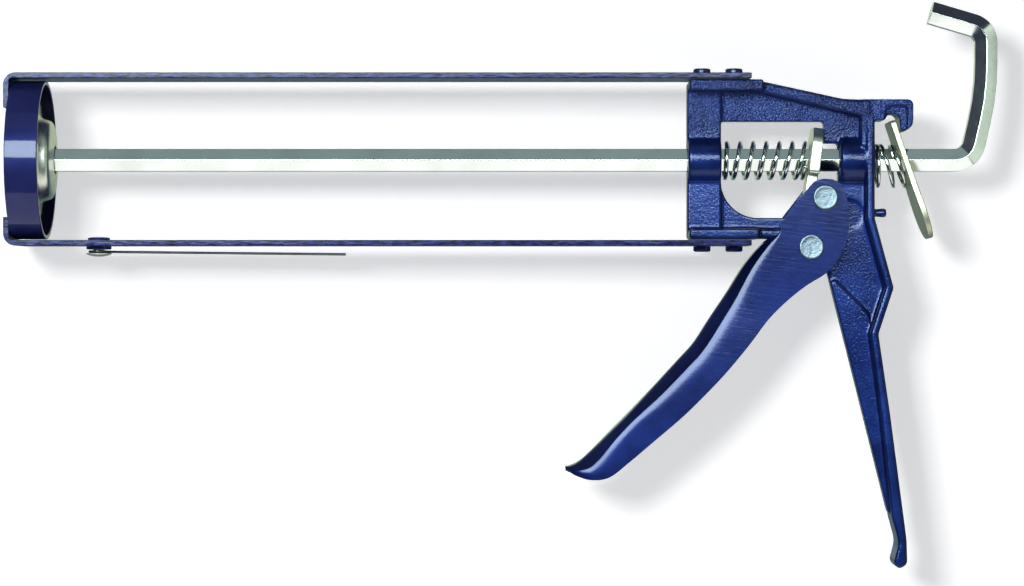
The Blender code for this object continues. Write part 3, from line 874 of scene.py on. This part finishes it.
def make_casting(finish):
    scene = bpy.context.scene.collection
    added = bpy.data.collections.new("cast_added")
    taken = bpy.data.collections.new("cast_taken")
    scene.children.link(added)
    scene.children.link(taken)
    for i, (shape, rounding) in enumerate(cast_front() + cast_bosses() + cast_tail()):
        solid = build(f"add_{i}", *shape, added)
        if rounding:
            bevel(solid, rounding, 3, 50.0)
    for i, shape in enumerate(cast_openings()):
        build(f"cut_{i}", *shape, taken)
    ob = build("body_casting_shown", *cast_web())
    for how, group in (("UNION", added), ("DIFFERENCE", taken)):
        add_modifier(
            ob,
            "BOOLEAN",
            operation=how,
            solver="EXACT",
            operand_type="COLLECTION",
            collection=group,
        )
    grain = MELT_GRAIN * MM
    add_modifier(ob, "REMESH", mode="VOXEL", voxel_size=grain, use_smooth_shade=True)
    add_modifier(ob, "SMOOTH", factor=MELT_SOFTEN, iterations=MELT_PASSES)
    add_modifier(ob, "DECIMATE", ratio=MELT_KEEP)
    settle(ob, 80.0, False)
    for group in (added, taken):
        for tool in list(group.objects):
            bpy.data.objects.remove(tool, do_unlink=True)
        bpy.data.collections.remove(group)
    return place(ob, "frame", "blue_enamel", finish, "body_casting")


# Stations from the tip up: front and rear edge (x, z), half-width, bend radius.
TRIGGER = [
    ((22.7, -63.0), (24.2, -64.7), 5.0, 1.4),
    ((24.6, -62.6), (26.8, -66.1), 7.6, 3.4),
    ((27.6, -61.1), (31.9, -67.4), 9.2, 6.0),
    ((31.8, -57.4), (38.1, -66.4), 9.9, 6.6),
    ((38.1, -51.1), (45.0, -61.1), 10.2, 5.2),
    ((44.4, -44.8), (53.5, -53.9), 10.2, 4.6),
    ((53.6, -35.0), (63.9, -45.0), 10.1, 6.2),
    ((62.7, -25.1), (73.6, -35.4), 9.9, 6.8),
    ((67.7, -19.5), (79.7, -28.8), 9.7, 6.8),
    ((73.2, -11.0), (87.1, -19.8), 9.4, 6.8),
    ((78.9, -2.5), (93.2, -11.7), 9.1, 6.0),
    ((85.3, 7.6), (99.6, -5.3), CHEEK, 4.7),
    ((92.0, 15.2), (106.2, 0.0), CHEEK, 3.0),
    ((96.6, 18.0), (113.4, 4.6), CHEEK, 0.6),
    ((97.9, 21.0), (117.9, 10.3), CHEEK, 0.1),
    ((98.9, 23.5), (119.8, 14.6), CHEEK, 0.1),
    ((102.2, 27.9), (121.1, 20.0), CHEEK, 0.1),
    ((105.3, 31.9), (121.1, 27.6), CHEEK, 0.1),
    ((108.2, 35.5), (119.7, 32.4), CHEEK, 0.1),
    ((110.0, 36.7), (117.8, 35.8), CHEEK, 0.1),
    ((112.4, 37.3), (115.6, 37.1), CHEEK, 0.1),
]
TRIGGER_FRONT_ENDS = 12.0
BEND_REACH = 1.37
BENDS = (1.2, 1.05, 0.95, 0.86, 0.79, 0.72, 0.66, 0.61, 0.57, 0.53, 0.47, 0.38, 0.26, 0.13, 0.0)
STEPS_BETWEEN = 6
CHEEK_STEPS = 6
FRONT_STEPS = 4
CREASE = 0.57
CROWN = 0.8
CROWN_RISE = 0.10


def cheek_depth(u):
    """How far the cheek falls away at u bend radii from the front edge."""
    if u < CREASE:
        return CROWN_RISE + (CREASE - u) / CREASE * (1.0 - CROWN_RISE)
    return CROWN_RISE * max(0.0, 1.0 - (u - CREASE) / CROWN) ** 3


def make_trigger(finish):
    fronts = [s[0] for s in TRIGGER]
    backs = [s[1] for s in TRIGGER]
    halves = [s[2] for s in TRIGGER]
    radii = [s[3] for s in TRIGGER]
    count = (len(TRIGGER) - 1) * STEPS_BETWEEN
    bends = (BEND_REACH,) + BENDS
    verts = []
    faces = []
    row = 0
    for i in range(count + 1):
        t = i / STEPS_BETWEEN
        f = smooth_line(fronts, t)
        b = smooth_line(backs, t)
        half = float(smooth_line(halves, t))
        reach = float(np.linalg.norm(b - f))
        radius = max(0.06, min(float(smooth_line(radii, t)), (reach - 0.2) / BEND_REACH))
        d = (b - f) / reach
        edge = []
        for k in range(CHEEK_STEPS):
            edge.append((reach + (BEND_REACH * radius - reach) * k / CHEEK_STEPS, -half))
        for u in bends:
            edge.append((u * radius, -half + cheek_depth(u) * radius))
        for k in range(1, FRONT_STEPS):
            edge.append((0.0, (-half + radius) * (1 - k / FRONT_STEPS)))
        line = edge + [(0.0, 0.0)] + [(s, -y) for s, y in reversed(edge)]
        row = len(line)
        for s, y in line:
            verts.append((f[0] + d[0] * s, y, f[1] + d[1] * s))
    keep = CHEEK_STEPS + len(bends) - 2
    for i in range(count):
        for k in range(row - 1):
            middle = keep < k < row - 2 - keep
            if middle and i / STEPS_BETWEEN >= TRIGGER_FRONT_ENDS:
                continue
            a = i * row + k
            faces.append([a, a + 1, a + row + 1, a + row])
    ob = build("trigger_shown", verts, faces)
    bm = bmesh.new()
    bm.from_mesh(ob.data)
    bmesh.ops.remove_doubles(bm, verts=bm.verts, dist=0.00001)
    bmesh.ops.delete(bm, geom=[v for v in bm.verts if not v.link_faces], context="VERTS")
    bm.normal_update()
    probe = min(bm.faces, key=lambda q: q.calc_center_median().y)
    if probe.normal.y > 0:
        bmesh.ops.reverse_faces(bm, faces=bm.faces)
    bm.to_mesh(ob.data)
    bm.free()
    add_modifier(
        ob,
        "SOLIDIFY",
        thickness=SHEET * MM,
        offset=-1.0,
        use_even_offset=False,
        use_rim=True,
    )
    bevel(ob, 0.35, 2, 60.0)
    settle(ob, 55.0)
    return place(ob, "trigger", "blue_enamel", finish, "trigger")


def make_cross_rivet(name, spot, body, finish):
    face = CHEEK + 0.05
    half = [(face, 2.2), (face, 4.15), (face + 0.1, 4.3), (face + 0.75, 4.3)]
    half += [(face + 0.98, 4.2), (face + 1.1, 3.95), (face + 1.12, 3.7), (face + 1.06, 3.4)]
    half += [(face + 1.02, 2.4), (face + 1.02, 1.2), (face + 1.0, 0.3)]
    profile = [(-s, r) for s, r in half[::-1]] + half
    ob = build(name + "_shown", *lathe(profile, 64, (spot[0], 0.0, spot[1]), "y", True))
    settle(ob, 50.0)
    return place(ob, body, "bright_zinc", finish, name)


def holed_plate(name, outline, hole, half, edge, frame_of):
    """A plate with one hole: outline and hole loops joined by rings, with eased edges."""
    centre = np.mean(np.array(hole), axis=0)
    n = 160

    def at_angle(loop, angle):
        d = np.array([math.cos(angle), math.sin(angle)])
        best = None
        for p, q in zip(loop, loop[1:] + loop[:1], strict=True):
            p = np.array(p) - centre
            q = np.array(q) - centre
            m = np.array([[d[0], p[0] - q[0]], [d[1], p[1] - q[1]]])
            if abs(np.linalg.det(m)) < 1e-12:
                continue
            s, u = np.linalg.solve(m, p)
            if s > 0 and -1e-9 <= u <= 1 + 1e-9:
                best = s if best is None else max(best, s)
        return d, best

    rows = []
    for k in range(n):
        a = 2 * math.pi * (k + 0.5) / n
        d, far = at_angle(outline, a)
        _, near = at_angle(hole, a)
        path = [
            (near + edge, -half),
            (far - edge, -half),
            (far - 0.3 * edge, -half + 0.3 * edge),
            (far, -half + edge),
            (far, half - edge),
            (far - 0.3 * edge, half - 0.3 * edge),
            (far - edge, half),
            (near + edge, half),
            (near + 0.3 * edge, half - 0.3 * edge),
            (near, half - edge),
            (near, -half + edge),
            (near + 0.3 * edge, -half + 0.3 * edge),
        ]
        rows.append([(centre + d * s, w) for s, w in path])
    m = len(rows[0])
    verts = [frame_of(float(p[0]), float(p[1]), w) for r in rows for p, w in r]
    faces = []
    for j in range(n):
        o = (j + 1) % n
        for i in range(m):
            k = (i + 1) % m
            faces.append([j * m + i, j * m + k, o * m + k, o * m + i])
    return build(name, verts, outward(verts, faces))


def make_drive_plate(finish):
    outline = rounded(
        [
            (-6.4, -17.9, 2.0),
            (6.4, -17.9, 2.0),
            (6.4, -5.1, 0.6),
            (11.8, -5.1, 1.2),
            (11.8, 7.0, 5.0),
            (7.0, 11.2, 5.0),
            (-7.0, 11.2, 5.0),
            (-11.8, 7.0, 5.0),
            (-11.8, -5.1, 1.2),
            (-6.4, -5.1, 0.6),
        ]
    )
    to_xyz = leaning(PLATE_X, AXIS_Z, PLATE_LEAN)
    hole = disc(0.0, 0.0, 5.0, 64)
    ob = holed_plate("drive_plate_shown", outline, hole, PLATE_T / 2, 0.35, to_xyz)
    settle(ob, 50.0)
    return place(ob, "drive", "bright_zinc", finish, "drive_plate")


def make_lever(finish):
    low = -42.8
    outline = rounded(
        [
            (-10.0, 0.2, 1.5),
            (-10.2, -22.0, 14.0),
            (-12.4, -31.0, 10.0),
            (-12.4, low, 9.5),
            (12.4, low, 9.5),
            (12.4, -31.0, 10.0),
            (10.2, -22.0, 14.0),
            (10.0, 0.2, 1.5),
        ]
    )
    slot = arc(0.0, -13.3, 5.0, 0.0, 180.0, 24) + arc(0.0, -14.5, 5.0, 180.0, 360.0, 24)
    to_xyz = leaning(LEVER_PIVOT[0], LEVER_PIVOT[1], -LEVER_LEAN)
    ob = holed_plate("release_lever_shown", outline, slot, LEVER_T / 2, 0.3, to_xyz)
    settle(ob, 50.0)
    return place(ob, "lever", "bright_zinc", finish, "release_lever")


def closed_end(t, turns):
    """Share of a coil's length reached at share t of its turns."""
    end = 0.75 / turns
    flat_share = 0.25 * end
    if t < end:
        return t / end * flat_share
    if t > 1 - end:
        return 1 - (1 - t) / end * flat_share
    return flat_share + (t - end) / (1 - 2 * end) * (1 - 2 * flat_share)


def coil_points(radius, turns, start, reach_at, hand, sag, phase=0.0):
    """Centre line of a coil that ends on the face at reach_at(z)."""
    points = []
    steps = int(turns * 48)
    for i in range(steps + 1):
        t = i / steps
        a = hand * (2 * math.pi * turns * t + phase)
        y = radius * math.sin(a)
        z = radius * math.cos(a) - sag
        ease = closed_end(t, turns)
        points.append((start + ease * (reach_at(z) - start), y, AXIS_Z + z))
    return points


def make_drive_spring(finish):
    wire = DRIVE_WIRE

    def to_plate(z):
        return PLATE_X + z * math.tan(PLATE_LEAN) - PLATE_T / 2 - 0.45 - wire / 2

    start = FRONT_BOSS_END + GAP + wire / 2
    phase = math.radians(70.0)
    points = coil_points(DRIVE_COIL, DRIVE_TURNS, start, to_plate, 1, 0.0, phase)
    ob = build("drive_spring_shown", *tube(points, wire / 2, 14))
    settle(ob, 60.0)
    place(ob, "frame", "spring_steel", finish, "drive_spring")
    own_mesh(ob)


def make_release_spring(finish):
    wire = RELEASE_WIRE

    def to_lever(z):
        drop = AXIS_Z + z - LEVER_PIVOT[1]
        return LEVER_PIVOT[0] - drop * math.tan(LEVER_LEAN) - LEVER_T / 2 - 0.5 - wire / 2

    start = REAR_BOSS_END + GAP + wire / 2
    points = coil_points(RELEASE_COIL, RELEASE_TURNS, start, to_lever, -1, RELEASE_SAG)
    ob = build("release_spring_shown", *tube(points, wire / 2, 14))
    settle(ob, 60.0)
    place(ob, "frame", "spring_steel", finish, "release_spring")
    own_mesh(ob)


def pierce_levels():
    """Underside of the lower strap, and the height of the pierce wire's loop."""
    under = AXIS_Z - STRAP_IN - STRAP_T
    return under, under - PIERCE_WASHER - 2 * GAP - PIERCE_R


def make_pierce_wire(finish):
    loop_z = pierce_levels()[1]
    points = []
    for i in range(49):
        a = math.radians(330.0 - 6.0 * i)
        x = WIRE_X + PIERCE_LOOP * math.cos(a)
        points.append((x, PIERCE_LOOP * math.sin(a), loop_z))
    points.append((WIRE_X + 6.0, 0.4, loop_z - 0.1))
    points.append((WIRE_X + 10.0, 0.0, loop_z - 0.15))
    for i in range(1, 13):
        x = WIRE_X + 10.0 + 76.2 * i / 12
        points.append((x, 0.0, loop_z - 0.15 + (11.1 - loop_z + 0.15) * i / 12))
    ob = build("pierce_wire_shown", *tube(points, PIERCE_R, 14))
    settle(ob, 60.0)
    return place(ob, "wire", "spring_steel", finish, "pierce_wire")


def make_pierce_washer(finish):
    under = pierce_levels()[0]
    washer = [
        (under - PIERCE_WASHER - GAP, 2.4),
        (under - PIERCE_WASHER - GAP, 4.1),
        (under - 0.6 - GAP, 4.4),
        (under - 0.1, 4.4),
        (under - 0.1, 2.4),
    ]
    ob = build("pierce_washer_shown", *lathe(washer, 64, (WIRE_X, 0.0, 0.0), "z"))
    settle(ob, 50.0)
    return place(ob, "frame", "blue_enamel", finish, "pierce_washer")


def make_pierce_rivet(finish, painted):
    """Bare tail under the strap, painted head above it."""
    top = AXIS_Z - STRAP_IN + 0.1
    low = pierce_levels()[1] - PIERCE_R - 0.1
    tail = [
        (low - 1.2, 0.4),
        (low - 1.15, 1.5),
        (low - 0.95, 2.6),
        (low - 0.65, 3.6),
        (low - 0.35, 4.3),
        (low - 0.1, 4.5),
        (low, 4.4),
        (low, 2.0),
        (top - 0.2, 2.0),
    ]
    ob = build("pierce_rivet_tail", *lathe(tail, 64, (WIRE_X, 0.0, 0.0), "z", True))
    settle(ob, 50.0)
    place(ob, "frame", "bright_zinc", finish, "pierce_rivet")
    head = [(top, 1.9), (top, 3.9), (top + 0.6, 3.9), (top + 0.9, 3.5), (top + 1.0, 2.6)]
    head += [(top + 1.0, 0.4)]
    ob = build("pierce_rivet_head", *lathe(head, 64, (WIRE_X, 0.0, 0.0), "z", True))
    settle(ob, 50.0)
    place(ob, "frame", "blue_enamel", painted)


def dress(node, finish):
    """A CAD node that stays as it is, with a finished material."""
    ob = frame["nodes"][node]
    ob.data.materials.clear()
    ob.data.materials.append(finish)


# ---------------------------------------------------------------- studio


def area_light(name, at, target, size, power, colour=(1.0, 1.0, 1.0), card=True):
    """A soft box seen only as a reflection (card), or one that only lights (not card)."""
    data = bpy.data.lights.new(name, "AREA")
    data.shape = "RECTANGLE"
    data.size = size[0]
    data.size_y = size[1]
    data.energy = power
    data.color = colour
    ob = bpy.data.objects.new(name, data)
    bpy.context.scene.collection.objects.link(ob)
    ob.location = at
    direction = np.array(target, float) - np.array(at, float)
    ob.rotation_euler = Vector(direction).to_track_quat("-Z", "Y").to_euler()
    ob.visible_camera = False
    ob.visible_diffuse = not card
    ob.visible_glossy = card
    return ob


def backdrop():
    """A bright sheet behind the object, clear when seen from behind."""
    m = bpy.data.materials.new("backdrop_white")
    m.use_nodes = True
    tree = m.node_tree
    out = tree.nodes["Material Output"]
    shader = tree.nodes["Principled BSDF"]
    shader.inputs["Base Color"].default_value = (0.8, 0.8, 0.8, 1.0)
    shader.inputs["Roughness"].default_value = 0.9
    shader.inputs["Specular IOR Level"].default_value = 0.1
    shader.inputs["Emission Color"].default_value = (1.0, 1.0, 1.0, 1.0)
    shader.inputs["Emission Strength"].default_value = BACKDROP_GLOW
    geometry = tree.nodes.new("ShaderNodeNewGeometry")
    clear = tree.nodes.new("ShaderNodeBsdfTransparent")
    mixer = tree.nodes.new("ShaderNodeMixShader")
    tree.links.new(geometry.outputs["Backfacing"], mixer.inputs[0])
    tree.links.new(shader.outputs[0], mixer.inputs[1])
    tree.links.new(clear.outputs[0], mixer.inputs[2])
    tree.links.new(mixer.outputs[0], out.inputs["Surface"])
    y = BACKDROP_Y
    r = BACKDROP_REACH
    verts = [(-r, y, -r), (r, y, -r), (r, y, r), (-r, y, r)]
    ob = build("backdrop", verts, [[0, 1, 2, 3]])
    ob.data.materials.append(m)
    ob.visible_glossy = False


def studio():
    """A dark room, pale behind the object, with five cards to mirror and two lamps."""
    world = bpy.data.worlds.new("studio")
    bpy.context.scene.world = world
    world.use_nodes = True
    tree = world.node_tree
    back = tree.nodes["Background"]
    where = tree.nodes.new("ShaderNodeTexCoord")
    split = tree.nodes.new("ShaderNodeSeparateXYZ")
    ramp = tree.nodes.new("ShaderNodeMapRange")
    ramp.inputs["From Min"].default_value = WALL_STARTS
    ramp.inputs["From Max"].default_value = WALL_FULL
    mixer = tree.nodes.new("ShaderNodeMix")
    mixer.data_type = "RGBA"
    mixer.inputs[COLOUR_A].default_value = ROOM_DARK
    height = tree.nodes.new("ShaderNodeMapRange")
    height.inputs["From Min"].default_value = -WALL_SPLIT
    height.inputs["From Max"].default_value = WALL_SPLIT
    behind = tree.nodes.new("ShaderNodeMix")
    behind.data_type = "RGBA"
    behind.inputs[COLOUR_A].default_value = WALL_LOW
    behind.inputs[COLOUR_B].default_value = WALL_HIGH
    tree.links.new(where.outputs["Generated"], split.inputs["Vector"])
    tree.links.new(split.outputs["Y"], ramp.inputs["Value"])
    tree.links.new(ramp.outputs["Result"], mixer.inputs["Factor"])
    tree.links.new(split.outputs["Z"], height.inputs["Value"])
    tree.links.new(height.outputs["Result"], behind.inputs["Factor"])
    tree.links.new(behind.outputs[COLOUR_OUT], mixer.inputs[COLOUR_B])
    tree.links.new(mixer.outputs[COLOUR_OUT], back.inputs["Color"])
    middle = (0.0, 0.0, 0.0)
    tail = (0.14, 0.0, 0.04)
    cool = (0.82, 1.0, 1.0)
    teal = (0.75, 1.0, 1.0)
    green = (0.85, 1.0, 0.85)
    area_light("key", (-0.37, -1.15, 0.33), middle, (0.6, 0.5), 17.0, cool)
    area_light("lamp", (-0.42, -1.15, 0.30), middle, (0.26, 0.26), 8.7, card=False)
    area_light("fill", (0.3, -1.0, -0.9), middle, (2.0, 1.6), 5.0, card=False)
    area_light("front_card", (0.14, -1.15, 0.30), tail, (0.42, 0.32), 6.0, cool)
    area_light("low_card", (0.0, -0.25, -0.9), (0.0, -0.25, 0.0), (2.2, 1.1), 8.6)
    area_light("top_card", (0.0, -0.6, 1.0), middle, (0.9, 0.5), 0.36, teal)
    area_light("right_card", (1.5, -0.85, 0.0), middle, (0.6, 2.4), 3.7, green)
    bpy.context.scene.view_settings.view_transform = "Standard"
    bpy.context.scene.view_settings.look = "None"


def camera():
    """A long lens that looks straight at the side."""
    data = bpy.data.cameras.new("camera")
    data.lens = CAMERA_LENS
    data.sensor_width = SENSOR_WIDTH
    data.sensor_fit = "HORIZONTAL"
    data.clip_start = 0.01
    data.clip_end = 50.0
    ob = bpy.data.objects.new("camera", data)
    ob.location = tuple(c * MM for c in CAMERA_AT)
    ob.rotation_euler = (math.radians(90.0), 0.0, 0.0)
    bpy.context.scene.collection.objects.link(ob)
    bpy.context.scene.camera = ob


def blue_enamel(part):
    """The blue lacquer as it shows on one kind of part; the ring's inside kind is a darkened
    copy, painted shade.
    """
    dark, light, finish = {
        "smooth": ((0.019, 0.024, 0.12), (0.026, 0.034, 0.16), "smooth"),
        "strap": ((0.006, 0.008, 0.04), (0.035, 0.045, 0.20), "edge"),
        "cast": ((0.006, 0.014, 0.085), (0.015, 0.036, 0.185), "leather"),
        "pressed": ((0.005, 0.011, 0.072), (0.010, 0.022, 0.135), "streaks"),
        # Painted shade: the inside of the ring gets a much darker copy of the blue.
        "shaded_inside": ((0.006, 0.006, 0.03), (0.009, 0.01, 0.045), "shaded_inside"),
    }[part]
    return enamel("blue_enamel_" + part, dark, light, finish)


def main():
    """Camera, materials, pieces and studio."""
    camera()
    blue = blue_enamel("smooth")
    blue_strap = blue_enamel("strap")
    blue_cast = blue_enamel("cast")
    blue_pressed = blue_enamel("pressed")
    # Darker blue for the ring's inside, painted shade.
    blue_shaded_inside = blue_enamel("shaded_inside")
    bright = zinc("zinc_bright", (0.90, 0.94, 0.88, 1.0), 0.12, (60.0, 900.0, 900.0), 0.008)
    plate = zinc("zinc_plate", (0.80, 0.83, 0.70, 1.0), 0.34)
    spring = zinc("zinc_spring", (0.74, 0.80, 0.76, 1.0), 0.13)
    yellowed = zinc("zinc_yellowed", (0.58, 0.57, 0.42, 1.0), 0.45)
    dull_wire = zinc("steel_wire_dull", (0.15, 0.16, 0.16, 1.0), 0.5)
    rivet = peened("zinc_peened", (0.23, 0.28, 0.33, 1.0))
    make_strap("upper_strap", 1, blue_strap)
    make_strap("lower_strap", -1, blue_strap)
    for i, x in enumerate(STRAP_RIVETS):
        make_strap_rivet(f"upper_rivet_{i + 1}", x, 1, blue)
        make_strap_rivet(f"lower_rivet_{i + 1}", x, -1, blue)
    make_ring(blue, blue_shaded_inside)
    make_rod(bright)
    make_piston(plate)
    make_casting(blue_cast)
    make_trigger(blue_pressed)
    make_cross_rivet("pivot_rivet", PIVOT, "frame", rivet)
    make_cross_rivet("pusher_rivet", PUSHER, "trigger", rivet)
    make_drive_plate(plate)
    make_lever(yellowed)
    make_drive_spring(spring)
    make_release_spring(spring)
    make_pierce_wire(dull_wire)
    make_pierce_washer(blue)
    make_pierce_rivet(plate, blue)
    for node in ("piston_washer", "piston_nut", "pusher_roller"):
        dress(node, plate)
    backdrop()
    studio()


main()
